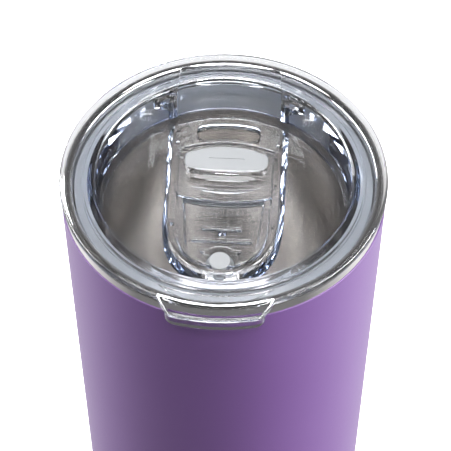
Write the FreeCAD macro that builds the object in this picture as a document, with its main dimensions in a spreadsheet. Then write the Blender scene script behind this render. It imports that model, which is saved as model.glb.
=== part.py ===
"""Insulated drinking tumbler with a press-in clear lid and a sliding drink closure, in millimetres.

The tumbler stands on z = 0 with its axis on Z. The lid's drink opening is at +Y and its lift tab at -Y.
The slider is drawn where the drink opening is uncovered; it closes by sliding towards +Y.
"""

import FreeCAD, Part
import math
import os

import Sketcher

PLAIN_NUMBERS = [
    # alias, millimetres, meaning
    ("cup_height", 171.5, "top of the steel lip"),
    ("rim_radius", 44.45, "coated shell, outside, at its top edge"),
    ("foot_radius", 35.0, "coated shell, outside, where the straight taper ends"),
    ("coat_top", 167.6, "top edge of the coated shell"),
    ("coat_bottom", 3.2, "bottom edge of the coated shell"),
    ("foot_round", 5.0, "height of the rounded foot of the shell"),
    ("foot_turn_in", 1.4, "how far that rounded foot turns in"),
    ("coat_edge", 0.3, "rounding of the shell's top edge"),
    ("steel_wall", 0.5, "thickness of every steel sheet"),
    ("weld_gap", 0.02, "gap between steel pieces that are welded or brazed"),
    ("lip_radius", 44.2, "bare steel lip, outside"),
    ("lip_width", 2.9, "bare steel lip, across its rolled bead"),
    ("liner_foot_radius", 32.5, "inside of the liner where its wall meets the corner"),
    ("liner_floor", 9.0, "inside floor of the liner"),
    ("liner_corner", 9.0, "inside corner radius of the liner"),
    ("base_radius", 33.3, "bare steel base ring, outside"),
    ("base_edge", 1.2, "outer edge radius of the base ring"),
    ("collar_step", 0.6, "outside of the base ring to its collar"),
    ("foot_width", 1.7, "flat ring that the tumbler stands on"),
    ("base_recess", 3.0, "height of the recessed base above the table"),
    ("collar_top", 7.0, "top of the base collar inside the shell"),
    ("cover_radius", 27.5, "disc that hides the evacuation port"),
    ("cover_thickness", 0.6, "thickness of that disc"),
    ("cover_gap", 0.05, "disc to the recessed base"),
    ("cover_edge", 0.3, "bevel on the disc's lower edge"),
    ("cover_ring", 22.0, "inner edge of the pressed ring in the disc"),
    ("ring_width", 2.0, "pressed ring"),
    ("ring_depth", 0.2, "pressed ring"),
    ("ring_slope", 0.4, "width of the pressed ring's sloping sides"),
    ("port_radius", 0.8, "evacuation port"),
    ("dimple_radius", 3.6, "dimple round the evacuation port"),
    ("dimple_height", 1.2, "depth of that dimple"),
    ("solder_inset", 0.1, "solder bead to the dimple"),
    ("solder_slope", 0.8, "width of the solder bead's rounded edge"),
    ("getter_offset", 16.0, "getter's distance from the axis"),
    ("getter_radius", 4.4, "getter tablet"),
    ("getter_height", 1.6, "getter tablet"),
    ("holder_wall", 0.4, "getter holder sheet"),
    ("getter_gap", 0.1, "getter tablet to its holder"),
    ("foil_gap", 0.15, "clearance between liner and foil"),
    ("foil_thickness", 0.2, "heat reflecting foil wrap"),
    ("foil_bottom", 25.0, "lower edge of the foil"),
    ("foil_top", 158.0, "upper edge of the foil"),
    ("seat_gap", 0.1, "clearance between lip and lid flange"),
    ("flange_radius", 44.9, "lid flange, outside"),
    ("flange_thickness", 2.1, "lid flange"),
    ("flange_edge", 0.8, "top outer edge radius of the flange"),
    ("dish_radius", 35.2, "inside of the lid's dish at its top"),
    ("dish_edge", 1.2, "top inner edge of the dish"),
    ("dish_depth", 14.5, "flange top to the lid floor"),
    ("dish_foot_radius", 33.6, "inside of the dish above its corner"),
    ("dish_corner", 0.7, "corner radius between dish wall and floor"),
    ("floor_thickness", 2.4, "lid floor"),
    ("plug_radius", 38.4, "lid plug below the flange"),
    ("groove_radius", 37.3, "bottom of the gasket groove"),
    ("groove_top", 3.4, "top of the gasket groove below the flange top"),
    ("groove_bottom", 13.0, "bottom of the gasket groove below the flange top"),
    ("ridge_radius", 38.9, "ridge that holds the gasket up"),
    ("ridge_height", 0.9, "that ridge"),
    ("plug_foot_radius", 37.2, "lid plug above its bottom edge"),
    ("plug_edge", 1.5, "bottom edge radius of the plug"),
    ("gasket_body", 1.5, "radial thickness of the gasket's band"),
    ("wiper_reach", 40.95, "upper wiper of the gasket, outside"),
    ("wiper_step", 0.2, "how much smaller each lower wiper is"),
    ("wiper_start", 0.6, "gasket's lower edge to the tip of its lowest wiper"),
    ("wiper_pitch", 3.6, "wipers, from one to the next"),
    ("wiper_tip", 0.6, "thickness of a wiper's tip"),
    ("wiper_round", 0.4, "rounding of a wiper's tip"),
    ("wiper_slope", 0.7, "rise from the gasket's band to the underside of a wiper's tip"),
    ("gasket_play", 0.05, "gasket to the top and bottom of its groove"),
    ("tab_root", 15.4, "half width of the lift tab at the flange"),
    ("tab_half", 13.5, "half width of the lift tab at its corners"),
    ("tab_reach", 50.2, "front of the lift tab"),
    ("tab_corner", 3.2, "corner radius of the lift tab"),
    ("tab_drop", 3.7, "depth of the tab's turned-down edge"),
    ("tab_lip", 2.3, "thickness of the tab's turned-down edge"),
    ("tab_bow", 1.3, "how far the tab's front bows out"),
    ("tab_back", 38.0, "inner end of the tab from the axis"),
    ("tab_narrowing", 2.0, "how much narrower the tab is at its inner end"),
    ("tab_flare", 0.4, "how much wider the tab is where it meets the flange"),
    ("tab_flare_start", 3.1, "flange edge to the start of that flare"),
    ("tab_flare_end", 1.3, "flange edge to the end of that flare"),
    ("tab_edge", 0.6, "top edge radius of the lift tab"),
    ("scoop_radius", 23.0, "arc of the thumb groove behind the tab"),
    ("scoop_reach", 44.2, "outer end of the thumb groove"),
    ("scoop_inner", 41.2, "inner edge of the thumb groove"),
    ("scoop_depth", 0.5, "depth of the thumb groove"),
    ("spout_half", 14.1, "half width of the raised drinking lip"),
    ("spout_reach", 39.5, "back edge of the raised drinking lip"),
    ("spout_rise", 0.9, "height of the raised drinking lip"),
    ("spout_start", 30.0, "inner end of the raised drinking lip, before the dish cuts it off"),
    ("spout_corner", 1.5, "corners of the raised drinking lip"),
    ("spout_edge", 0.5, "top edge radius of the raised drinking lip"),
    ("wall_half", 16.6, "slider channel wall, outside, half width at its foot"),
    ("channel_half", 14.3, "slider channel, inside, half width"),
    ("channel_front", 13.9, "slider channel, inside, radius of its front"),
    ("wall_front", 15.7, "slider channel wall, outside, radius of its front at its foot"),
    ("front_centre", -10.5, "centre of the channel's inner front arc from the axis"),
    ("wall_centre", -11.3, "centre of the wall's outer front arc from the axis"),
    ("wall_draft", 18.0, "slope of the wall's outer face, in degrees"),
    ("wall_edge", 0.3, "top edge radius of the channel wall"),
    ("side_end", -4.0, "where the channel's straight sides end"),
    ("channel_height", 4.7, "channel wall above the lid floor"),
    ("gusset_front", 26.0, "front of the gussets that tie the channel to the dish"),
    ("gusset_back", 32.0, "back of those gussets, inside the dish wall"),
    ("gusset_lean", 0.8, "how far a gusset's back leans out"),
    ("gusset_tip", 1.8, "thickness of a gusset at its top"),
    ("gusset_top", 0.7, "top of the gussets below the flange top"),
    ("gusset_arc", 14.0, "radius of a gusset's hollow front"),
    ("web_reach", 21.0, "outer end of the webs beside the gussets, half width"),
    ("web_front", 27.0, "front of those webs from the axis"),
    ("web_set_in", 1.0, "how far those webs run into the wall and the dish"),
    ("web_back", 31.0, "back of those webs, inside the dish wall"),
    ("web_top", 1.6, "top of those webs below the flange top"),
    ("web_bottom", 5.0, "underside of those webs below the flange top"),
    ("keeper_reach", 13.35, "inner edge of the lips that hold the slider down"),
    ("keeper_bottom", 12.3, "underside of those lips below the flange top"),
    ("keeper_top", 10.9, "top of those lips below the flange top"),
    ("slot_sweep", 12.6, "half angle of the curved drink opening, in degrees"),
    ("slot_width", 5.4, "drink opening"),
    ("slot_centre", 28.7, "middle of the drink opening from the axis"),
    ("vent_radius", 1.3, "air vent"),
    ("vent_centre", -8.5, "air vent from the axis"),
    ("travel", 12.0, "slider travel from open to closed"),
    ("slider_gap", 0.35, "slider to channel wall"),
    ("slider_bottom", 14.3, "underside of the slider below the flange top"),
    ("plate_top", 12.5, "top of the slider's plate below the flange top"),
    ("rim_top", 10.3, "top of the slider's rim below the flange top"),
    ("block_top", 9.7, "top of the slider's thumb block below the flange top"),
    ("block_half", 13.1, "half width of the thumb block"),
    ("block_front", 1.0, "front of the thumb block at its sides"),
    ("block_back", 33.0, "back of the thumb block before the dish's curve cuts it off"),
    ("block_corner", 1.2, "front corners of the thumb block"),
    ("block_arc", 48.0, "radius of the block's bowed front"),
    ("block_edge", 0.6, "top edge radius of the thumb block"),
    ("thumb_half", 10.8, "half length of the thumb hollow"),
    ("thumb_radius", 4.6, "thumb hollow at its ends"),
    ("thumb_arc", 44.0, "lengthwise radius of the thumb hollow"),
    ("thumb_centre", 6.0, "thumb hollow from the axis"),
    ("thumb_rise", 4.7, "middle of the thumb hollow above the block"),
    ("block_reach", 33.2, "back of the block from the axis, when closed"),
    ("plate_reach", 32.8, "back of the plate from the axis, when closed"),
    ("rim_outset", 1.5, "channel wall to the outside of the slider's rim"),
    ("window_back", 10.9, "half width of the window inside the slider's rim, at its back"),
    ("window_front", 9.3, "half width of that window where its round front starts"),
    ("window_turn", -13.5, "where its round front starts, from the axis"),
    ("window_arc", 9.4, "radius of its round front"),
    ("window_overlap", 4.0, "how far the window's plan runs back under the thumb block"),
    ("window_draft", 18.0, "slope of the window's sides, in degrees"),
    ("rim_edge", 0.4, "top edge radius of the slider's rim"),
    ("sink", 0.2, "how deep raised details run into what they stand on"),
    ("boss_radius", 5.3, "boss round the vent seal"),
    ("boss_top", 10.5, "top of the boss below the flange top"),
    ("boss_edge", 0.5, "top edge radius of the boss"),
    ("swell_radius", 15.0, "thumb swells on the plate, radius of the first"),
    ("swell_pitch", 1.5, "thumb swells, from one to the next"),
    ("swell_width", 0.5, "thumb swells"),
    ("swell_height", 0.15, "thumb swells"),
    ("swell_half", 4.0, "half length of the thumb swells"),
    ("swell_front", -0.8, "first thumb swell from the axis"),
    ("grip_width", 1.1, "grip ribs"),
    ("grip_height", 1.0, "grip ribs"),
    ("grip_edge", 0.3, "top edge radius of the grip ribs"),
    ("seal_half", 11.5, "drink seal's body, half length"),
    ("seal_front", 11.2, "front of the drink seal's body at its corners, from the axis"),
    ("seal_back", 17.6, "back of the drink seal's body at its corners, from the axis"),
    ("seal_corner", 2.3, "corner radius of the drink seal's body"),
    ("seal_front_arc", 100.0, "radius of the body's front edge"),
    ("seal_back_arc", 22.2, "radius of the body's back edge"),
    ("seal_top", 10.0, "top of the drink seal below the flange top"),
    ("seal_edge", 0.4, "top edge radius of both seals"),
    ("mark_length", 10.0, "groove in the top of the drink seal"),
    ("mark_width", 0.6, "that groove"),
    ("mark_depth", 0.25, "that groove"),
    ("sole_sweep", 14.6, "half angle of the drink seal's sole"),
    ("sole_width", 6.6, "drink seal, at its sole"),
    ("sole_top", 13.4, "top of each seal's sole below the flange top"),
    ("sole_bottom", 14.44, "underside of each seal below the flange top"),
    ("vent_seal_radius", 3.0, "vent seal, at its top"),
    ("vent_seal_top", 10.4, "top of the vent seal below the flange top"),
    ("vent_sole_radius", 3.8, "vent seal, at its sole"),
    ("fit", 0.04, "clearance of a pressed-in seal"),
]

SHEET_NAME = "Sizes"
FRONT_KEEPERS = (-7.5, 7.0)
REAR_KEEPERS = (21.5, 25.3)
GRIP_RIBS = ((-8.3, 5.45), (-12.4, 8.45), (-16.3, 5.65))
THUMB_SWELLS = 4
WIPERS = 3
PAST = 1.0  # how far a cutting tool runs past what it cuts
JUST_OVER = 1.0001  # keeps the arc of a half circle solvable


class Size:
    """A length that knows both its value and the spreadsheet expression it comes from."""

    def __init__(self, value, text):
        self.value = value
        self.text = text

    @staticmethod
    def of(other):
        return other if isinstance(other, Size) else Size(float(other), f"({float(other)})")

    def join(self, other, sign, value):
        return Size(value, f"({self.text} {sign} {Size.of(other).text})")

    def __add__(self, other):
        return self.join(other, "+", self.value + Size.of(other).value)

    def __sub__(self, other):
        return self.join(other, "-", self.value - Size.of(other).value)

    def __mul__(self, other):
        return self.join(other, "*", self.value * Size.of(other).value)

    def __truediv__(self, other):
        return self.join(other, "/", self.value / Size.of(other).value)

    def __neg__(self):
        return Size(-self.value, f"(-1 * {self.text})")

    def __rsub__(self, other):
        return Size.of(other) - self


doc = FreeCAD.newDocument("Tumbler")
sheet = doc.addObject("Spreadsheet::Sheet", SHEET_NAME)
size = {}
for row, (alias, value, meaning) in enumerate(PLAIN_NUMBERS, start=1):
    sheet.set(f"A{row}", meaning)
    sheet.set(f"B{row}", str(value))
    sheet.setAlias(f"B{row}", alias)
    size[alias] = Size(value, f"{SHEET_NAME}.{alias}")
doc.recompute()


def bind(item, **properties):
    """Binds properties of a document object to sizes."""
    for name, length in properties.items():
        length = Size.of(length)
        setattr(item, name, length.value)
        item.setExpression(name, length.text)


def place(item, x=0.0, y=0.0, z=0.0, axis=(0, 0, 1), angle=0.0):
    """Places an item, with each coordinate bound to its size."""
    base = [Size.of(x), Size.of(y), Size.of(z)]
    vector = FreeCAD.Vector(*[length.value for length in base])
    item.Placement = FreeCAD.Placement(vector, FreeCAD.Rotation(FreeCAD.Vector(*axis), angle))
    for name, length in zip("xyz", base):
        item.setExpression(f"Placement.Base.{name}", length.text)
    return item


def arc_between(start, end, radius):
    """The minor arc between two points. It turns left for a positive radius, right for a negative one."""
    chord = end - start
    half = chord.Length / 2
    rise = math.sqrt(max(radius * radius - half * half, 0.0))
    side = FreeCAD.Vector(-chord.y, chord.x, 0).normalize() * math.copysign(1.0, radius)
    centre = (start + end) * 0.5 + side * rise
    circle = Part.Circle(centre, FreeCAD.Vector(0, 0, 1), abs(radius))
    angles = [math.atan2(p.y - centre.y, p.x - centre.x) for p in (start, end)]
    if radius < 0:
        angles.reverse()
    return Part.ArcOfCircle(circle, angles[0], angles[1])


def draw(sketch, outline):
    """Draws a closed outline. A corner is (x, y) or (x, y, radius of the arc that leaves it)."""
    corners = [[Size.of(c) for c in corner] for corner in outline]
    points = [FreeCAD.Vector(c[0].value, c[1].value, 0) for c in corners]
    ends = []
    for number, corner in enumerate(corners):
        start, end = points[number], points[(number + 1) % len(points)]
        if len(corner) == 3:
            edge = sketch.addGeometry(arc_between(start, end, corner[2].value), False)
            first, last = (1, 2) if corner[2].value > 0 else (2, 1)
            turn = Size.of(corner[2]) if corner[2].value > 0 else -corner[2]
            radius = sketch.addConstraint(Sketcher.Constraint("Radius", edge, turn.value))
            sketch.setExpression(f"Constraints[{radius}]", turn.text)
        else:
            edge = sketch.addGeometry(Part.LineSegment(start, end), False)
            first, last = 1, 2
        ends.append((edge, first, last))
    for number, corner in enumerate(corners):
        edge, first, _ = ends[number]
        previous, _, last = ends[number - 1]
        sketch.addConstraint(Sketcher.Constraint("Coincident", previous, last, edge, first))
        for kind, length in (("DistanceX", corner[0]), ("DistanceY", corner[1])):
            made = sketch.addConstraint(Sketcher.Constraint(kind, -1, 1, edge, first, length.value))
            sketch.setExpression(f"Constraints[{made}]", length.text)
    return sketch


def origin_plane(body, role):
    return next(plane for plane in body.Origin.OriginFeatures if plane.Role == role)


def turned_body(label, outline):
    """A body made by turning an outline of (radius, height) corners about Z."""
    body = doc.addObject("PartDesign::Body", label)
    body.Label = label
    sketch = body.newObject("Sketcher::SketchObject", f"{label}_profile")
    sketch.AttachmentSupport = (origin_plane(body, "XZ_Plane"), [""])
    sketch.MapMode = "FlatFace"
    draw(sketch, outline)
    turn = body.newObject("PartDesign::Revolution", f"{label}_turn")
    turn.Profile = sketch
    turn.ReferenceAxis = (sketch, ["V_Axis"])
    turn.Angle = 360.0
    return body


def turned(name, outline):
    """A plain solid made by turning an outline of (radius, height) corners about Z."""
    sketch = doc.addObject("Sketcher::SketchObject", f"{name}_profile")
    sketch.Placement = FreeCAD.Placement(FreeCAD.Vector(), FreeCAD.Rotation(FreeCAD.Vector(1, 0, 0), 90))
    draw(sketch, outline)
    turn = doc.addObject("Part::Revolution", name)
    turn.Source = sketch
    turn.Axis = FreeCAD.Vector(0, 0, 1)
    turn.Angle = 360.0
    turn.Solid = True
    return turn


def raised(name, profile, bottom, top, draft=0.0):
    """A prism on a flat profile, from bottom to top. With a draft it widens upwards."""
    prism = doc.addObject("Part::Extrusion", name)
    prism.Base = profile
    prism.DirMode = "Custom"
    prism.Dir = FreeCAD.Vector(0, 0, 1)
    prism.Solid = True
    bind(prism, LengthFwd=top - bottom, TaperAngle=draft)
    return place(prism, z=bottom)


def flat(name, outline):
    """A closed outline drawn flat on XY."""
    return draw(doc.addObject("Sketcher::SketchObject", name), outline)


def cylinder(name, radius, bottom, top, y=0.0, x=0.0):
    item = doc.addObject("Part::Cylinder", name)
    bind(item, Radius=radius, Height=top - bottom)
    return place(item, x=x, y=y, z=bottom)


def box(name, x, y, z):
    """A box between the low and high x, y and z given as pairs."""
    item = doc.addObject("Part::Box", name)
    bind(item, Length=Size.of(x[1]) - x[0], Width=Size.of(y[1]) - y[0], Height=Size.of(z[1]) - z[0])
    return place(item, x=x[0], y=y[0], z=z[0])


def fuse(name, items):
    item = doc.addObject("Part::MultiFuse", name)
    item.Shapes = items
    item.Refine = True
    return item


def cut(name, base, tool):
    item = doc.addObject("Part::Cut", name)
    item.Base, item.Tool = base, tool
    item.Refine = True
    return item


def common(name, base, tool):
    item = doc.addObject("Part::Common", name)
    item.Base, item.Tool = base, tool
    return item


def rounded(name, base, radius, chosen):
    """Rounds the edges of a solid whose highest and lowest points pass the test."""
    doc.recompute()
    item = doc.addObject("Part::Fillet", name)
    item.Base = base
    edges = enumerate(base.Shape.Edges, start=1)
    radius = Size.of(radius).value
    item.Edges = [(number, radius, radius) for number, edge in edges if chosen(edge.BoundBox)]
    return item


def at_height(length):
    """A test for edges that lie flat at one height."""
    height = Size.of(length).value
    return lambda bound: abs(bound.ZMin - height) < 0.01 and abs(bound.ZMax - height) < 0.01


def turn_by(angle):
    """Cosine and sine of an angle in degrees."""
    radians = math.radians(angle.value)
    return (Size(math.cos(radians), f"cos({angle.text})"), Size(math.sin(radians), f"sin({angle.text})"))


def curved_slot(name, middle, width, sweep, shift=0.0):
    """An oblong with round ends that is bent round the lid's axis, and shifted along Y."""
    cosine, sine = turn_by(sweep)
    inner, outer = middle - width / 2, middle + width / 2
    end = width / 2 * JUST_OVER
    shift = Size.of(shift)
    return flat(name, [
        (-(inner * sine), inner * cosine + shift, -inner),
        (inner * sine, inner * cosine + shift, end),
        (outer * sine, outer * cosine + shift, outer),
        (-(outer * sine), outer * cosine + shift, end),
    ])


def seal_outline(name, grow):
    """Plan of the drink seal's body: an oblong whose long edges bow out, grown by a clearance."""
    half, corner = size["seal_half"] + grow, size["seal_corner"] + grow
    front, back = size["seal_front"] - grow, size["seal_back"] + grow
    inset = half - corner
    end = corner * JUST_OVER
    return flat(name, [
        (-inset, front, size["seal_front_arc"]),
        (inset, front, end),
        (half, front + corner),
        (half, back - corner, end),
        (inset, back, size["seal_back_arc"]),
        (-inset, back, end),
        (-half, back - corner),
        (-half, front + corner, end),
    ])


def stadium(name, length, width, y):
    """An oblong with round ends, along X."""
    round_end = width / 2
    reach = length / 2 - round_end
    return flat(name, [(-reach, y - round_end), (reach, y - round_end, round_end * JUST_OVER),
                       (reach, y + round_end), (-reach, y + round_end, round_end * JUST_OVER)])


# Heights on the lid are depths below the flange's top face.
flange_top = size["cup_height"] + size["seat_gap"] + size["flange_thickness"]


def below(alias):
    return flange_top - size[alias]


dish_floor = below("dish_depth")
plug_bottom = dish_floor - size["floor_thickness"]
bead = size["lip_width"] / 2
mouth_radius = size["lip_radius"] - size["lip_width"]
bead_height = size["cup_height"] - bead
liner_rise = bead_height - size["liner_floor"] - size["liner_corner"]
liner_taper = (mouth_radius - size["liner_foot_radius"]) / liner_rise


def liner_inside(height):
    """Inner radius of the liner's straight wall at a height."""
    return mouth_radius - (bead_height - height) * liner_taper


def outer_shell():
    """Coated outer wall: a taper with a rounded foot, open at both ends."""
    wall, foot = size["steel_wall"], size["foot_radius"]
    top, bottom = size["coat_top"], size["coat_bottom"]
    turn_in = foot - size["foot_turn_in"]
    edge = size["coat_edge"]
    round_top = bottom + size["foot_round"]
    return turned_body("outer_shell", [
        (turn_in, bottom, size["foot_round"] * 2),
        (foot, round_top),
        (size["rim_radius"], top - edge, wall / 2),
        (size["rim_radius"] - edge, top),
        (size["rim_radius"] - wall, top),
        (foot - wall, round_top, -(size["foot_round"] * 2)),
        (turn_in - wall, bottom),
    ])


def inner_liner():
    """Steel cup inside, whose mouth is rolled over into the bare lip."""
    wall, corner = size["steel_wall"], size["liner_corner"]
    foot, floor = size["liner_foot_radius"], size["liner_floor"]
    skirt = size["coat_top"] + size["weld_gap"]
    lip = size["lip_radius"]
    return turned_body("inner_liner", [
        (0, floor - wall),
        (foot - corner, floor - wall, corner + wall),
        (foot + wall, floor + corner),
        (mouth_radius + wall, bead_height, -((bead - wall) * JUST_OVER)),
        (lip - wall, bead_height),
        (lip - wall, skirt),
        (lip, skirt),
        (lip, bead_height, bead * JUST_OVER),
        (mouth_radius, bead_height),
        (foot, floor + corner, -corner),
        (foot - corner, floor),
        (0, floor),
    ])


def base_cup():
    """Bare steel base: foot ring, recessed disc with the evacuation port, collar inside the shell."""
    wall, edge, radius = size["steel_wall"], size["base_edge"], size["base_radius"]
    recess, seam = size["base_recess"], size["coat_bottom"] - size["weld_gap"]
    collar = radius - size["collar_step"]
    inner = collar - wall
    foot_outer = radius - edge
    foot_inner = foot_outer - size["foot_width"]
    web = foot_inner - wall
    bend = wall / 2
    dimple, rise, port = size["dimple_radius"], size["dimple_height"], size["port_radius"]
    return turned_body("base_cup", [
        (foot_inner, 0),
        (foot_outer, 0, edge),
        (radius, edge),
        (radius, seam),
        (collar, seam),
        (collar, size["collar_top"]),
        (inner, size["collar_top"]),
        (inner, wall + bend, -bend),
        (inner - bend, wall),
        (foot_inner + bend, wall, -bend),
        (foot_inner, wall + bend),
        (foot_inner, recess + bend, bend),
        (foot_inner - bend, recess + wall),
        (dimple + wall * 2, recess + wall),
        (dimple + wall, recess + wall + rise),
        (port, recess + wall + rise),
        (port, recess + rise),
        (dimple, recess + rise),
        (dimple + wall, recess),
        (web - wall, recess, -wall),
        (web, recess - wall),
        (web, wall, wall),
    ])


def base_cover():
    """Thin disc with a pressed ring, fixed in the base recess over the evacuation port."""
    top = size["base_recess"] - size["cover_gap"]
    under = top - size["cover_thickness"]
    radius, edge = size["cover_radius"], size["cover_edge"]
    ring, width = size["cover_ring"], size["ring_width"]
    slope, depth = size["ring_slope"], size["ring_depth"]
    return turned_body("base_cover", [
        (0, under),
        (ring, under),
        (ring + slope, under + depth),
        (ring + width - slope, under + depth),
        (ring + width, under),
        (radius - edge, under),
        (radius, under + edge),
        (radius, top),
        (0, top),
    ])


def vacuum_plug():
    """Bead of glass solder that closes the evacuation port."""
    recess, rise, gap = size["base_recess"], size["dimple_height"], size["weld_gap"]
    stem = size["port_radius"] - gap
    inset = size["solder_inset"]
    head = size["dimple_radius"] - inset
    return turned_body("vacuum_plug", [
        (0, recess + inset),
        (head - size["solder_slope"], recess + inset, rise),
        (head, recess + rise - gap),
        (stem, recess + rise - gap),
        (stem, recess + rise + size["steel_wall"]),
        (0, recess + rise + size["steel_wall"]),
    ])


def getter_holder():
    """Small steel cup welded to the base inside the vacuum space."""
    floor, wall = size["base_recess"] + size["steel_wall"] + size["weld_gap"], size["holder_wall"]
    inside, top = size["getter_radius"] + size["getter_gap"], floor + wall + size["getter_height"]
    outer = cylinder("holder_outer", inside + wall, floor, top, x=size["getter_offset"])
    inner = cylinder("holder_inner", inside, floor + wall, top + PAST, x=size["getter_offset"])
    return cut("getter_holder", outer, inner)


def getter_tablet():
    """Pellet that soaks up gas left in the vacuum space."""
    floor = size["base_recess"] + size["steel_wall"] + size["holder_wall"] + size["weld_gap"] * 2
    return cylinder("getter_tablet", size["getter_radius"], floor, floor + size["getter_height"],
                    x=size["getter_offset"])


def heat_foil():
    """Foil sleeve round the liner."""
    low, high = size["foil_bottom"], size["foil_top"]
    gap = size["steel_wall"] + size["foil_gap"]
    thick = size["foil_thickness"]
    return turned_body("heat_foil", [
        (liner_inside(low) + gap, low),
        (liner_inside(low) + gap + thick, low),
        (liner_inside(high) + gap + thick, high),
        (liner_inside(high) + gap, high),
    ])


def lid_dish():
    """Flange, plug wall with its gasket groove, and floor, turned in one piece."""
    edge, under = size["flange_edge"], flange_top - size["flange_thickness"]
    radius, dish = size["flange_radius"], size["dish_radius"]
    small = edge / 2
    groove, ridge = size["groove_radius"], size["ridge_radius"]
    corner, plug_edge = size["dish_corner"], size["plug_edge"]
    soft = 1.02  # a quarter round drawn slightly flat, so that its arc stays solvable
    return turned("lid_dish", [
        (0, plug_bottom),
        (size["plug_foot_radius"] - plug_edge, plug_bottom, plug_edge * soft),
        (size["plug_foot_radius"], plug_bottom + plug_edge),
        (ridge, below("groove_bottom") - size["ridge_height"]),
        (ridge, below("groove_bottom")),
        (groove, below("groove_bottom")),
        (groove, below("groove_top")),
        (size["plug_radius"], below("groove_top")),
        (size["plug_radius"], under),
        (radius - small, under, small * soft),
        (radius, under + small),
        (radius, flange_top - edge, edge * soft),
        (radius - edge, flange_top),
        (dish + size["dish_edge"], flange_top, size["dish_edge"] * soft),
        (dish, flange_top - size["dish_edge"]),
        (size["dish_foot_radius"], dish_floor + corner, -(corner * soft)),
        (size["dish_foot_radius"] - corner, dish_floor),
        (0, dish_floor),
    ])


def lift_tab():
    """Tab at the front of the flange, with a turned-down edge, to lift the lid by."""
    root, half = size["tab_root"], size["tab_half"]
    reach, corner = size["tab_reach"], size["tab_corner"]
    front, slim, flare = reach - size["tab_bow"], root - size["tab_narrowing"], size["tab_flare"]
    shoulder = front - corner * 0.9
    rim = size["flange_radius"]
    start, end = -(rim - size["tab_flare_start"]), -(rim - size["tab_flare_end"])
    round_corner = corner * 1.15
    outline = flat("tab_outline", [
        (slim, -size["tab_back"]),
        (-slim, -size["tab_back"]),
        (-root - flare, start),
        (-root + flare, end),
        (-half, -shoulder, round_corner),
        (-half + corner, -front, reach),
        (half - corner, -front, round_corner),
        (half, -shoulder),
        (root - flare, end),
        (root + flare, start),
    ])
    block = raised("tab_block", outline, below("tab_drop"), flange_top)
    hollow = cylinder("tab_hollow", reach - size["tab_lip"], below("tab_drop") - PAST,
                      flange_top - size["flange_thickness"])
    tab = cut("tab_cut", block, hollow)
    on_top, free_part = at_height(flange_top), -(rim - size["flange_edge"]).value
    return rounded("lift_tab", tab, size["tab_edge"], lambda bound: on_top(bound) and bound.YMin < free_part)


def drinking_lip():
    """Slightly raised pad on the flange behind the drink opening."""
    half, reach, start = size["spout_half"], size["spout_reach"], size["spout_start"]
    corner, top = size["spout_corner"], flange_top + size["spout_rise"]
    round_corner, bow = corner * 1.07, corner / 2
    outline = flat("spout_outline", [
        (half, start),
        (half, reach - bow - corner, round_corner),
        (half - corner, reach - bow, size["flange_radius"] * 2),
        (-half + corner, reach - bow, round_corner),
        (-half, reach - bow - corner),
        (-half, start),
    ])
    pad = raised("spout_pad", outline, flange_top - size["flange_edge"], top)
    soft_pad = rounded("spout_round", pad, size["spout_edge"], at_height(top))
    hollow = cylinder("spout_hollow", size["dish_radius"] + size["dish_edge"] / 2,
                      below("flange_thickness"), top + PAST)
    return cut("drinking_lip", soft_pad, hollow)


def channel_outline(name, half, front, centre):
    """Plan of the slider channel: straight sides that run tangentially into a round front."""
    start = size["side_end"]
    rise = start - centre
    sweep = (half * half + rise * rise - front * front) / ((half - front) * 2)
    meet_x = front * (sweep - half) / (sweep - front)
    meet_y = centre - front * rise / (sweep - front)
    back = size["dish_radius"]
    return flat(name, [
        (half, back),
        (-half, back),
        (-half, start, sweep),
        (-meet_x, meet_y, front),
        (meet_x, meet_y, sweep),
        (half, start),
    ])


def channel_inside(name):
    return channel_outline(name, size["channel_half"], size["channel_front"], size["front_centre"])


def channel_wall():
    """The wall that stands on the lid floor round the slider, clipped to the dish. It slopes outside."""
    low, high = dish_floor, dish_floor + size["channel_height"]
    wall = channel_outline("wall_outline", size["wall_half"], size["wall_front"], size["wall_centre"])
    block = raised("wall_block", wall, low, high, -size["wall_draft"])
    outer = rounded("wall_round", block, size["wall_edge"], at_height(high))
    inner = raised("wall_hollow", channel_inside("wall_hollow_outline"), low - PAST, high + PAST)
    disc = cylinder("wall_limit", size["dish_radius"], low, high)
    return common("channel_wall", cut("wall_ring", outer, inner), disc)


def gusset(side, name):
    """Tie between the channel wall and the dish, with a hollow front that climbs to the flange."""
    front, back = size["gusset_front"], size["gusset_back"]
    low, high = dish_floor, below("gusset_top")
    sketch = doc.addObject("Sketcher::SketchObject", f"{name}_outline")
    sketch.Placement = FreeCAD.Placement(FreeCAD.Vector(), FreeCAD.Rotation(0.5, 0.5, 0.5, 0.5))
    draw(sketch, [
        (front, low),
        (back, low),
        (back + size["gusset_lean"], high),
        (back + size["gusset_lean"] - size["gusset_tip"], high, size["gusset_arc"]),
        (front, low + size["channel_height"]),
    ])
    prism = doc.addObject("Part::Extrusion", name)
    prism.Base = sketch
    prism.DirMode = "Custom"
    prism.Dir = FreeCAD.Vector(1, 0, 0)
    prism.Solid = True
    width = size["wall_half"] - size["channel_half"]
    bind(prism, LengthFwd=width)
    return place(prism, x=size["channel_half"] if side > 0 else -size["wall_half"])


def corner_web(side, name):
    """Three-cornered web that ties a gusset to the dish on its outer side."""
    deep = size["web_set_in"]
    inner, outer = size["channel_half"] + deep, size["web_reach"]
    front, back = size["web_front"], size["web_back"]
    corners = [(inner, front), (outer, front + deep), (inner, back)]
    if side < 0:
        corners = [(-x, y) for x, y in reversed(corners)]
    return raised(name, flat(f"{name}_outline", corners), below("web_bottom"), below("web_top"))


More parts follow.
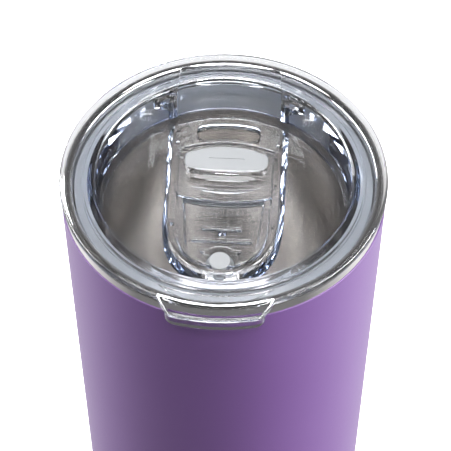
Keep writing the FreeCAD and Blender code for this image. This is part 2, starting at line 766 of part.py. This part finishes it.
def keepers():
    """Four lips on the channel wall that hold the slider's rails down."""
    inner, outer = size["keeper_reach"], size["channel_half"] + size["slider_gap"]
    heights = (below("keeper_bottom"), below("keeper_top"))
    made = []
    for place_name, reach in (("front", FRONT_KEEPERS), ("rear", REAR_KEEPERS)):
        made.append(box(f"{place_name}_keeper_right", (inner, outer), reach, heights))
        made.append(box(f"{place_name}_keeper_left", (-outer, -inner), reach, heights))
    return made


def lid_body():
    """Clear lid moulding: dish, tab, drinking lip and slider channel, with its drink opening and vent."""
    solid = fuse("lid_solid", [
        lid_dish(), lift_tab(), drinking_lip(), channel_wall(),
        gusset(1, "gusset_right"), gusset(-1, "gusset_left"),
        corner_web(1, "web_right"), corner_web(-1, "web_left"), *keepers(),
    ])
    slot_outline = curved_slot("slot_outline", size["slot_centre"], size["slot_width"], size["slot_sweep"])
    slot = raised("slot_tool", slot_outline, plug_bottom - PAST, dish_floor + PAST)
    vent = cylinder("vent_tool", size["vent_radius"], plug_bottom - PAST, dish_floor + PAST,
                    y=size["vent_centre"])
    arc = cylinder("scoop_arc", size["scoop_radius"], below("scoop_depth"), flange_top + PAST,
                   y=size["scoop_radius"] - size["scoop_reach"])
    core = cylinder("scoop_core", size["scoop_inner"], below("scoop_depth") - PAST, flange_top + PAST * 2)
    tools = fuse("lid_tools", [slot, vent, cut("scoop_tool", arc, core)])
    return cut("lid_body", solid, tools)


def lid_gasket():
    """Silicone ring with three wipers that grip the inside of the cup."""
    inner = size["groove_radius"] + size["fit"]
    band = inner + size["gasket_body"]
    high, low = below("groove_top") - size["gasket_play"], below("groove_bottom") + size["gasket_play"]
    slope, tip = size["wiper_slope"], size["wiper_tip"]
    outline = [(inner, low), (band, low)]
    for number in range(WIPERS):
        reach = size["wiper_reach"] - size["wiper_step"] * (WIPERS - 1 - number) - size["wiper_round"] / 2
        foot = low + size["wiper_start"] + size["wiper_pitch"] * number
        if number:
            outline.append((band, foot - slope))
        outline += [(reach, foot, size["wiper_round"]), (reach, foot + tip), (band, foot + tip + slope)]
    return turned_body("lid_gasket", [*outline, (band, high), (inner, high)])


def slider_blank(name, inset, bottom, top, back_radius, half=None):
    """A prism with the channel's outline, set in from the wall. Its back follows the dish."""
    outline = doc.addObject("Part::Offset2D", f"{name}_outline")
    outline.Source = channel_inside(f"{name}_channel")
    outline.Join = "Intersection"
    bind(outline, Value=-inset)
    prism = raised(f"{name}_prism", outline, bottom, top)
    disc = cylinder(f"{name}_disc", back_radius, bottom, top, y=-size["travel"])
    return common(name, prism, disc)


def thumb_block():
    """Raised block at the back of the slider, with a hollow for the thumb."""
    half, front, back = size["block_half"], size["block_front"], size["block_back"]
    corner = size["block_corner"]
    low, high = below("plate_top"), below("block_top")
    outline = flat("block_outline", [
        (half, front + corner),
        (half, back),
        (-half, back),
        (-half, front + corner, corner * 1.4),
        (-half + corner, front, size["block_arc"]),
        (half - corner, front, corner * 1.4),
    ])
    prism = raised("block_prism", outline, low, high)
    disc = cylinder("block_disc", size["block_reach"], low, high, y=-size["travel"])
    block = rounded("block_round", common("block_common", prism, disc), size["block_edge"], at_height(high))
    reach = size["thumb_half"]
    barrel = turned("thumb_barrel", [
        (0, -reach),
        (size["thumb_radius"], -reach, size["thumb_arc"]),
        (size["thumb_radius"], reach),
        (0, reach),
    ])
    place(barrel, y=size["thumb_centre"], z=high + size["thumb_rise"], axis=(0, 1, 0), angle=90)
    return cut("thumb_block", block, barrel)


def grip_ribs():
    """Cross ribs on the slider's plate."""
    ribs = []
    low, high = below("plate_top") - size["sink"], below("plate_top") + size["grip_height"]
    for number, (y, half) in enumerate(GRIP_RIBS, start=1):
        outline = stadium(f"rib_outline_{number}", Size.of(2 * half), size["grip_width"], Size.of(y))
        block = raised(f"rib_block_{number}", outline, low, high)
        ribs.append(rounded(f"rib_{number}", block, size["grip_edge"], at_height(high)))
    return ribs


def thumb_swells():
    """Shallow curved ribs behind the grip ribs."""
    low, high = below("plate_top") - size["sink"], below("plate_top") + size["swell_height"]
    half = size["swell_half"]
    swells = []
    for number in range(THUMB_SWELLS):
        front = size["swell_front"] - size["swell_pitch"] * number
        centre = front + size["swell_radius"]
        outer = cylinder(f"swell_outer_{number}", size["swell_radius"], low, high, y=centre)
        inner = cylinder(f"swell_inner_{number}", size["swell_radius"] - size["swell_width"],
                         low - PAST, high + PAST, y=centre)
        limit = box(f"swell_limit_{number}", (-half, half), (front - PAST, front + PAST * 3), (low, high))
        swells.append(common(f"swell_{number}", cut(f"swell_ring_{number}", outer, inner), limit))
    return swells


def seal_holes():
    """Openings and underside pockets that the two seals press into."""
    fit = size["fit"]
    seal = seal_outline("seal_hole", fit)
    sole = curved_slot("sole_hole", size["slot_centre"], size["sole_width"] + fit * 2,
                       size["sole_sweep"], -size["travel"])
    vent_y = size["vent_centre"] - size["travel"]
    low, high = below("slider_bottom") - PAST, below("block_top") + PAST
    return fuse("seal_holes", [
        raised("seal_tool", seal, low, high),
        raised("sole_tool", sole, low, below("sole_top") + fit),
        cylinder("vent_seal_tool", size["vent_seal_radius"] + fit, low, high, y=vent_y),
        cylinder("vent_sole_tool", size["vent_sole_radius"] + fit, low, below("sole_top") + fit, y=vent_y),
    ])


def window_outline():
    """Plan of the window inside the slider's rim, which narrows towards its round front."""
    back, front, turn = size["window_back"], size["window_front"], size["window_turn"]
    behind = size["block_front"] + size["window_overlap"]
    return flat("window_outline", [
        (back, behind),
        (-back, behind),
        (-front, turn, size["window_arc"]),
        (front, turn),
    ])


def slider_rim(sunk, top):
    """Raised rim round the slider's front. Its window has sloping sides."""
    outer = slider_blank("rim_outer", size["rim_outset"], sunk, top, size["block_reach"])
    soft = rounded("rim_soft", outer, size["rim_edge"], at_height(top))
    window = raised("rim_window", window_outline(), sunk - size["sink"], top + PAST, size["window_draft"])
    half, back = size["wall_half"], size["block_front"] + size["window_overlap"] / 2
    front = box("rim_limit", (-half, half), (-size["flange_radius"], back), (sunk, top))
    return common("slider_rim", cut("rim_ring", soft, window), front)


def vent_boss(sunk, top):
    """Round boss that carries the vent seal, trimmed to the slider's outline."""
    post = cylinder("boss_post", size["boss_radius"], sunk, top, y=size["vent_centre"] - size["travel"])
    soft = rounded("boss_soft", post, size["boss_edge"], at_height(top))
    limit = slider_blank("boss_limit", size["rim_outset"], sunk, top, size["block_reach"])
    return common("vent_boss", soft, limit)


def slider():
    """Clear closure: a plate on rails, a rim, a thumb block, grip ribs and a boss for the vent seal."""
    low, plate = below("slider_bottom"), below("plate_top")
    sunk = plate - size["sink"]
    base = slider_blank("slider_plate", size["slider_gap"], low, plate, size["plate_reach"])
    solid = fuse("slider_solid", [
        base, slider_rim(sunk, below("rim_top")), thumb_block(), vent_boss(sunk, below("boss_top")),
        *grip_ribs(), *thumb_swells(),
    ])
    return cut("slider", solid, seal_holes())


def drink_seal():
    """Silicone pad that closes the drink opening: a sole under the plate and a body through the block."""
    body = seal_outline("seal_outline", Size.of(0.0))
    sole = curved_slot("sole_outline", size["slot_centre"], size["sole_width"], size["sole_sweep"],
                       -size["travel"])
    top, foot = below("seal_top"), below("sole_top")
    block = raised("seal_block", body, foot - size["sink"], top)
    upper = rounded("seal_body", block, size["seal_edge"], at_height(top))
    lower = raised("seal_sole", sole, below("sole_bottom"), foot)
    middle = (size["seal_front"] + size["seal_back"]) / 2 + size["mark_width"]
    mark = stadium("seal_mark_outline", size["mark_length"], size["mark_width"], middle)
    groove = raised("seal_mark", mark, top - size["mark_depth"], top + PAST)
    return cut("drink_seal", fuse("seal_solid", [upper, lower]), groove)


def vent_seal():
    """Silicone button that closes the vent."""
    y = size["vent_centre"] - size["travel"]
    top, foot = below("vent_seal_top"), below("sole_top")
    body = cylinder("vent_seal_body", size["vent_seal_radius"], foot - size["sink"], top, y=y)
    upper = rounded("vent_seal_round", body, size["seal_edge"], at_height(top))
    lower = cylinder("vent_seal_sole", size["vent_sole_radius"], below("sole_bottom"), foot, y=y)
    return fuse("vent_seal", [upper, lower])


def check_and_write(parts):
    """Stops on any failed object or bad shape, then writes one STEP file for each sub-part."""
    doc.recompute()
    failed = [item.Name for item in doc.Objects if {"Invalid", "Error"} & set(item.State)]
    if failed:
        raise SystemExit(f"failed objects: {failed}")
    os.makedirs("parts", exist_ok=True)
    for item in parts:
        shape = item.Shape
        if shape.isNull() or not shape.isValid() or not shape.Solids:
            raise SystemExit(f"{item.Label} has no valid solid")
        print(f"{item.Label:16s} {len(shape.Solids)} solid  {shape.Volume / 1000:8.3f} cm3")
        shape.exportStep(os.path.join("parts", f"{item.Label}.step"))


check_and_write([
    outer_shell(), inner_liner(), base_cup(), base_cover(), vacuum_plug(),
    getter_holder(), getter_tablet(), heat_foil(),
    lid_body(), lid_gasket(), slider(), drink_seal(), vent_seal(),
])
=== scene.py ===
"""Looks of an insulated tumbler with a clear press-in lid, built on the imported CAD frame.

Lengths are in metres. The lid's lift tab points to -Y, which is also the camera's side.
"""

import math

import bpy
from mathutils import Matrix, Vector


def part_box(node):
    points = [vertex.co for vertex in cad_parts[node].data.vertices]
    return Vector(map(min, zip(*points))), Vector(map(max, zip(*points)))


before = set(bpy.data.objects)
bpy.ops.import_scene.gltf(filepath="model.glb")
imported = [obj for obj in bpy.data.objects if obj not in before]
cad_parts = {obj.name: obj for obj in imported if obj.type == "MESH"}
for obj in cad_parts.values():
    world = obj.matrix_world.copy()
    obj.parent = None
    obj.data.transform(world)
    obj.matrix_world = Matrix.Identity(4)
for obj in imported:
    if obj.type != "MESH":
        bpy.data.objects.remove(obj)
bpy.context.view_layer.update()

MM = 0.001

# ---------------------------------------------------------------- camera

VIEW_ELEVATION = math.radians(50.83)
VIEW_TURN = math.radians(3.0)
VIEW_DISTANCE = 1.796
LENS_MM = 525.9
SENSOR_MM = 36.0
CLIP_NEAR = 0.05
CLIP_FAR = 20.0

# The middle of the picture, sideways and upwards from the centre of the flange's top.
AIM_RIGHT = 0.5 * MM
AIM_UP = -13.03 * MM

# How far the drinking lip, the lid's highest part, stands above the flange.
DRINKING_LIP_RISE = 0.9 * MM


def flange_top():
    """Height of the top of the lid's flange."""
    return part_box("lid_body")[1].z - DRINKING_LIP_RISE


def add_camera():
    """A long lens at the angle of a product shot, turned a little to the right of the lift tab."""
    cosine, sine = math.cos(VIEW_ELEVATION), math.sin(VIEW_ELEVATION)
    right = Vector((math.cos(VIEW_TURN), math.sin(VIEW_TURN), 0.0))
    level = Vector((-math.sin(VIEW_TURN), math.cos(VIEW_TURN), 0.0))
    forward = level * cosine + Vector((0.0, 0.0, -sine))
    upward = level * sine + Vector((0.0, 0.0, cosine))
    target = Vector((0.0, 0.0, flange_top())) + right * AIM_RIGHT + upward * AIM_UP
    lens = bpy.data.cameras.new("camera")
    lens.lens = LENS_MM
    lens.sensor_width = SENSOR_MM
    lens.clip_start = CLIP_NEAR
    lens.clip_end = CLIP_FAR
    camera = bpy.data.objects.new("camera", lens)
    camera.location = target - forward * VIEW_DISTANCE
    camera.rotation_euler = forward.to_track_quat("-Z", "Y").to_euler()
    bpy.context.scene.collection.objects.link(camera)
    bpy.context.scene.camera = camera


# ---------------------------------------------------------------- node trees

def set_inputs(node, values):
    for key, value in values.items():
        node.inputs[key].default_value = value


class Tree:
    """A node tree, with short ways to add nodes and join them."""

    def __init__(self, owner):
        owner.use_nodes = True
        self.nodes = owner.node_tree.nodes
        self.links = owner.node_tree.links

    def node(self, kind, **values):
        made = self.nodes.new(f"ShaderNode{kind}")
        for key, value in values.items():
            setattr(made, key, value)
        return made

    def link(self, source, target):
        self.links.new(source, target)

    def split(self, vector):
        """The X, Y and Z outputs that a vector splits into."""
        made = self.node("SeparateXYZ")
        self.link(vector, made.inputs[0])
        return made.outputs

    def maths(self, operation, *terms):
        """The result of a Math node whose terms are sockets or plain numbers."""
        made = self.node("Math", operation=operation)
        for entry, term in zip(made.inputs, terms):
            if isinstance(term, bpy.types.NodeSocket):
                self.link(term, entry)
            else:
                entry.default_value = term
        return made.outputs[0]

    def ramp(self, source, low, high, start=0.0, end=1.0):
        """A value that goes from low to high as the source goes from start to end."""
        made = self.node("MapRange")
        set_inputs(made, {"From Min": start, "From Max": end, "To Min": low, "To Max": high})
        self.link(source, made.inputs["Value"])
        return made.outputs[0]


class Paint(Tree):
    """A material, with its Principled shader and its output node at hand."""

    def __init__(self, name):
        self.material = bpy.data.materials.new(name)
        super().__init__(self.material)
        self.shader = self.nodes["Principled BSDF"]
        self.output = self.nodes["Material Output"]

    def feed(self, name, source):
        """Joins a socket to the Principled shader's input of that name."""
        self.link(source, self.shader.inputs[name])

    def position(self):
        """Object coordinates, which follow the piece as it moves."""
        return self.node("TexCoord").outputs["Object"]

    def noise(self, vector, scale, detail=2.0, roughness=0.5):
        made = self.node("TexNoise")
        set_inputs(made, {"Scale": scale, "Detail": detail, "Roughness": roughness})
        self.link(vector, made.inputs["Vector"])
        return made.outputs["Fac"]

    def around_axis(self, around, along):
        """Coordinates for marks that run round the Z axis.

        X is the angle times around. Y and Z are the radius and the height, times along.
        """
        place = self.split(self.position())
        angle = self.maths("ARCTAN2", place["Y"], place["X"])
        flat = self.node("CombineXYZ")
        self.link(place["X"], flat.inputs["X"])
        self.link(place["Y"], flat.inputs["Y"])
        radius = self.node("VectorMath", operation="LENGTH")
        self.link(flat.outputs[0], radius.inputs[0])
        joined = self.node("CombineXYZ")
        parts = {"X": (angle, around), "Y": (radius.outputs["Value"], along), "Z": (place["Z"], along)}
        for axis, (source, factor) in parts.items():
            self.link(self.maths("MULTIPLY", source, factor), joined.inputs[axis])
        return joined.outputs[0]

    def mix(self, source, first, second):
        """Mixes two colours by a factor."""
        made = self.node("Mix", data_type="RGBA")
        self.link(source, made.inputs["Factor"])
        set_inputs(made, {"A": (*first, 1.0), "B": (*second, 1.0)})
        return made.outputs["Result"]

    def bump(self, source, distance, strength):
        made = self.node("Bump")
        set_inputs(made, {"Strength": strength, "Distance": distance})
        self.link(source, made.inputs["Height"])
        self.feed("Normal", made.outputs["Normal"])


# ---------------------------------------------------------------- light and floor

LIGHT_BOUNCES = 40

# Azimuth 0 is the camera's side and 90 is to its right. Both angles are in degrees.
SOFTBOXES = {
    "right_box": dict(azimuth=78.0, elevation=12.0, distance=0.8, width=0.8, height=0.36, radiance=20.0),
    "left_box": dict(azimuth=-100.0, elevation=12.0, distance=0.8, width=0.8, height=0.36, radiance=14.0),
    "top_box": dict(azimuth=0.0, elevation=81.0, distance=0.9, width=1.2, height=0.36, radiance=11.0),
    "front_strip": dict(azimuth=0.0, elevation=60.0, distance=0.9, width=0.5, height=0.06, radiance=40.0),
}
SOFTBOX_TARGET = Vector((0.0, 0.0, 0.12))

# The studio's colour by how steeply a ray rises, from 0 for level to 1 for straight up.
STUDIO_LEVEL = (1.0, 1.0, 1.0)
STUDIO_RISING = {0.24: (0.62, 0.6107, 0.5983), 0.50: (0.25, 0.24625, 0.24125)}
STUDIO_OVERHEAD = (0.12, 0.118, 0.115)

# The studio's strength by how far to the back a ray points, where 1 is straight back.
STUDIO_FRONT, STUDIO_FRONT_STRENGTH = 0.1, 0.12
STUDIO_BACK, STUDIO_BACK_STRENGTH = 0.95, 1.0

TABLE_HALF = 3.0
TABLE_WHITE = (0.9, 0.9, 0.9)
TABLE_THROWN = (0.08, 0.08, 0.082)

# The glow that the table throws on the object comes up between these two places along Y.
GLOW_STRENGTH = 0.80
GLOW_FRONT, GLOW_BACK = -0.10, 0.03


def set_render():
    """Plain colours, and enough bounces for light that crosses the lid twice and the cup in between."""
    scene = bpy.context.scene
    scene.view_settings.view_transform = "Standard"
    for kind in ("max", "transmission", "glossy", "transparent_max"):
        setattr(scene.cycles, f"{kind}_bounces", LIGHT_BOUNCES)


def add_softbox(name, azimuth, elevation, distance, width, height, radiance):
    """A rectangular light that faces the upper part of the cup."""
    turn, lift = math.radians(azimuth), math.radians(elevation)
    direction = Vector((math.sin(turn) * math.cos(lift), -math.cos(turn) * math.cos(lift), math.sin(lift)))
    light = bpy.data.lights.new(name, "AREA")
    light.shape = "RECTANGLE"
    light.size = width
    light.size_y = height
    light.energy = radiance * math.pi * width * height
    lamp = bpy.data.objects.new(name, light)
    lamp.location = SOFTBOX_TARGET + direction * distance
    lamp.rotation_euler = (-direction).to_track_quat("-Z", "Y").to_euler()
    bpy.context.scene.collection.objects.link(lamp)


def add_world():
    """A studio that is dark behind the camera, bright low down behind the object and grey above it."""
    world = bpy.data.worlds.new("studio")
    bpy.context.scene.world = world
    tree = Tree(world)
    way = tree.split(tree.node("TexCoord").outputs["Generated"])
    sky = tree.node("ValToRGB")
    level, overhead = sky.color_ramp.elements
    level.color = (*STUDIO_LEVEL, 1.0)
    overhead.color = (*STUDIO_OVERHEAD, 1.0)
    for rise, colour in STUDIO_RISING.items():
        sky.color_ramp.elements.new(rise).color = (*colour, 1.0)
    tree.link(way["Z"], sky.inputs["Fac"])
    strength = tree.ramp(way["Y"], STUDIO_FRONT_STRENGTH, STUDIO_BACK_STRENGTH, STUDIO_FRONT, STUDIO_BACK)
    shade = tree.nodes["Background"]
    tree.link(sky.outputs["Color"], shade.inputs["Color"])
    tree.link(strength, shade.inputs["Strength"])


def table_white():
    """White and burnt out to the camera. The object sees it dark in front and glowing behind."""
    paint = Paint("floor_white")
    set_inputs(paint.shader, {"Base Color": (*TABLE_WHITE, 1.0), "Roughness": 0.9,
                              "Emission Color": (1.0, 1.0, 1.0, 1.0), "Emission Strength": 1.0})
    dull = paint.node("BsdfDiffuse")
    dull.inputs["Color"].default_value = (*TABLE_THROWN, 1.0)
    depth = paint.split(paint.position())["Y"]
    glow = paint.node("Emission")
    paint.link(paint.ramp(depth, 0.0, GLOW_STRENGTH, GLOW_FRONT, GLOW_BACK), glow.inputs["Strength"])
    lit = paint.node("AddShader")
    paint.link(dull.outputs[0], lit.inputs[0])
    paint.link(glow.outputs[0], lit.inputs[1])
    blend = paint.node("MixShader")
    paint.link(paint.node("LightPath").outputs["Is Camera Ray"], blend.inputs["Fac"])
    paint.link(lit.outputs[0], blend.inputs[1])
    paint.link(paint.shader.outputs[0], blend.inputs[2])
    paint.link(blend.outputs[0], paint.output.inputs["Surface"])
    return paint.material


def add_floor():
    """The table that the cup stands on."""
    corners = [(x * TABLE_HALF, y * TABLE_HALF, 0.0) for x, y in ((-1, -1), (1, -1), (1, 1), (-1, 1))]
    mesh = bpy.data.meshes.new("floor")
    mesh.from_pydata(corners, [], [(0, 1, 2, 3)])
    mesh.materials.append(table_white())
    floor = bpy.data.objects.new("floor", mesh)
    bpy.context.scene.collection.objects.link(floor)


# ---------------------------------------------------------------- materials

COAT_TONES = (0.106, 0.049, 0.168), (0.113, 0.054, 0.178)
LINER_TONES = (0.75, 0.735, 0.72), (0.81, 0.795, 0.78)
BASE_TONES = (0.558, 0.549, 0.54), (0.62, 0.61, 0.60)
FOIL_AND_CREASE_SHADE_TONES = (0.72, 0.72, 0.74), (0.88, 0.88, 0.89)
GETTER_GREY = (0.30, 0.30, 0.31)
SOLDER_GREY = (0.32, 0.33, 0.31)
PLASTIC_TINT = (0.985, 0.99, 1.0)
LID_CAST = (0.66, 0.73, 0.87)
SLIDER_CAST = (0.75, 0.81, 0.92)
GASKET_CLEAR = (0.66, 0.69, 0.74)
SEAL_WHITE = (0.30, 0.31, 0.322)

# The liner is smooth on its lip and rougher on the wall below it, with a short blend between.
LIP_ROUGHNESS = 0.08
WALL_ROUGHNESS = 0.14
LIP_DEPTH = 5.0 * MM
LIP_BLEND = 2.0 * MM


def toned(colour, factor):
    return tuple(min(1.0, channel * factor) for channel in colour)


def powder_coat():
    """Satin purple coat with the faint orange peel of baked powder."""
    paint = Paint("powder_coat")
    place = paint.position()
    tone = paint.noise(place, scale=60.0, detail=3.0)
    grain = paint.noise(place, scale=2600.0)
    paint.feed("Base Color", paint.mix(tone, *COAT_TONES))
    paint.feed("Roughness", paint.ramp(grain, 0.32, 0.40))
    paint.bump(grain, distance=0.02 * MM, strength=0.35)
    paint.shader.inputs["Specular IOR Level"].default_value = 0.5
    return paint.material


def turned_steel(name, tones, groove):
    """Bare steel with fine marks that run round the axis. The marks are returned for the roughness."""
    paint = Paint(name)
    marks = paint.noise(paint.around_axis(around=0.35, along=9000.0), scale=1.0, detail=3.0, roughness=0.6)
    broad = paint.noise(paint.around_axis(around=0.8, along=500.0), scale=1.0)
    paint.feed("Base Color", paint.mix(broad, *tones))
    paint.bump(marks, distance=groove, strength=0.6)
    paint.shader.inputs["Metallic"].default_value = 1.0
    return paint, marks


def base_steel():
    """Pressed steel of the base and of the getter's holder."""
    paint, marks = turned_steel("base_steel", BASE_TONES, groove=0.01 * MM)
    paint.feed("Roughness", paint.ramp(marks, 0.168, 0.336))
    return paint.material


def liner_steel():
    """Bright steel, smoothest on the lip at the mouth."""
    paint, marks = turned_steel("liner_steel", LINER_TONES, groove=0.006 * MM)
    height = paint.split(paint.position())["Z"]
    lip_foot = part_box("inner_liner")[1].z - LIP_DEPTH
    polish = paint.ramp(height, WALL_ROUGHNESS, LIP_ROUGHNESS, lip_foot - LIP_BLEND, lip_foot)
    paint.feed("Roughness", paint.maths("MULTIPLY", polish, paint.ramp(marks, 0.75, 1.35)))
    return paint.material


def clear_plastic(name, cast, density):
    """Polished clear copolyester with a faint waviness and a blue cast where it is thick."""
    paint = Paint(name)
    wave = paint.noise(paint.position(), scale=140.0, detail=1.0)
    set_inputs(paint.shader, {"Base Color": (*PLASTIC_TINT, 1.0), "Transmission Weight": 1.0, "IOR": 1.54})
    paint.feed("Roughness", paint.ramp(wave, 0.0, 0.012))
    paint.bump(wave, distance=0.01 * MM, strength=0.4)
    volume = paint.node("VolumeAbsorption")
    set_inputs(volume, {"Color": (*cast, 1.0), "Density": density})
    paint.link(volume.outputs[0], paint.output.inputs["Volume"])
    return paint.material


def silicone(name, colour, clear, rough):
    """Soft-looking silicone with a fine matt skin."""
    paint = Paint(name)
    grain = paint.noise(paint.position(), scale=3000.0)
    tone = paint.noise(paint.position(), scale=120.0)
    paint.feed("Base Color", paint.mix(tone, colour, toned(colour, 1.05)))
    paint.feed("Roughness", paint.ramp(grain, rough * 0.85, rough * 1.15))
    paint.bump(grain, distance=0.01 * MM, strength=0.4)
    set_inputs(paint.shader, {"Transmission Weight": clear, "IOR": 1.41, "Subsurface Weight": 0.3,
                              "Subsurface Radius": (3.0 * MM, 3.0 * MM, 3.0 * MM), "Subsurface Scale": 1.0})
    return paint.material


def dull_metal(name, colour, rough, scale):
    """Pressed powder or solder: grainy, dull and slightly pitted."""
    paint = Paint(name)
    grain = paint.noise(paint.position(), scale, detail=4.0, roughness=0.65)
    paint.feed("Base Color", paint.mix(grain, toned(colour, 0.7), colour))
    paint.feed("Roughness", paint.ramp(grain, rough * 0.8, rough * 1.2))
    paint.bump(grain, distance=0.05 * MM, strength=0.5)
    paint.shader.inputs["Metallic"].default_value = 0.7
    return paint.material


def crinkled_foil():
    """Thin bright foil with small creases, with painted shade darkening the creases."""
    paint = Paint("foil")
    crease = paint.node("TexVoronoi", feature="DISTANCE_TO_EDGE")
    crease.inputs["Scale"].default_value = 160.0
    paint.link(paint.position(), crease.inputs["Vector"])
    # The colour goes from the darker tone in the creases to the brighter tone between them: painted shade
    # in the creases.
    paint.feed("Base Color", paint.mix(crease.outputs["Distance"], *FOIL_AND_CREASE_SHADE_TONES))
    paint.feed("Roughness", paint.ramp(crease.outputs["Distance"], 0.35, 0.15))
    paint.bump(crease.outputs["Distance"], distance=0.3 * MM, strength=0.8)
    paint.shader.inputs["Metallic"].default_value = 1.0
    return paint.material


def paint_nodes():
    """Gives each CAD node its finish."""
    steel = base_steel()
    white = silicone("white_silicone", SEAL_WHITE, clear=0.0, rough=0.45)
    finish = {
        "outer_shell": powder_coat(),
        "inner_liner": liner_steel(),
        "base_cup": steel,
        "base_cover": steel,
        "getter_holder": steel,
        "getter_tablet": dull_metal("getter", GETTER_GREY, rough=0.7, scale=2500.0),
        "vacuum_plug": dull_metal("solder", SOLDER_GREY, rough=0.35, scale=900.0),
        "heat_foil": crinkled_foil(),
        "lid_body": clear_plastic("clear_lid", LID_CAST, density=34.0),
        "lid_gasket": silicone("clear_silicone", GASKET_CLEAR, clear=0.55, rough=0.14),
        "slider": clear_plastic("clear_slider", SLIDER_CAST, density=30.0),
        "drink_seal": white,
        "vent_seal": white,
    }
    for node, material in finish.items():
        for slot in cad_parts[node].material_slots:
            slot.material = material


# ---------------------------------------------------------------- build

set_render()
add_camera()
add_world()
add_floor()
for softbox, settings in SOFTBOXES.items():
    add_softbox(softbox, **settings)
paint_nodes()
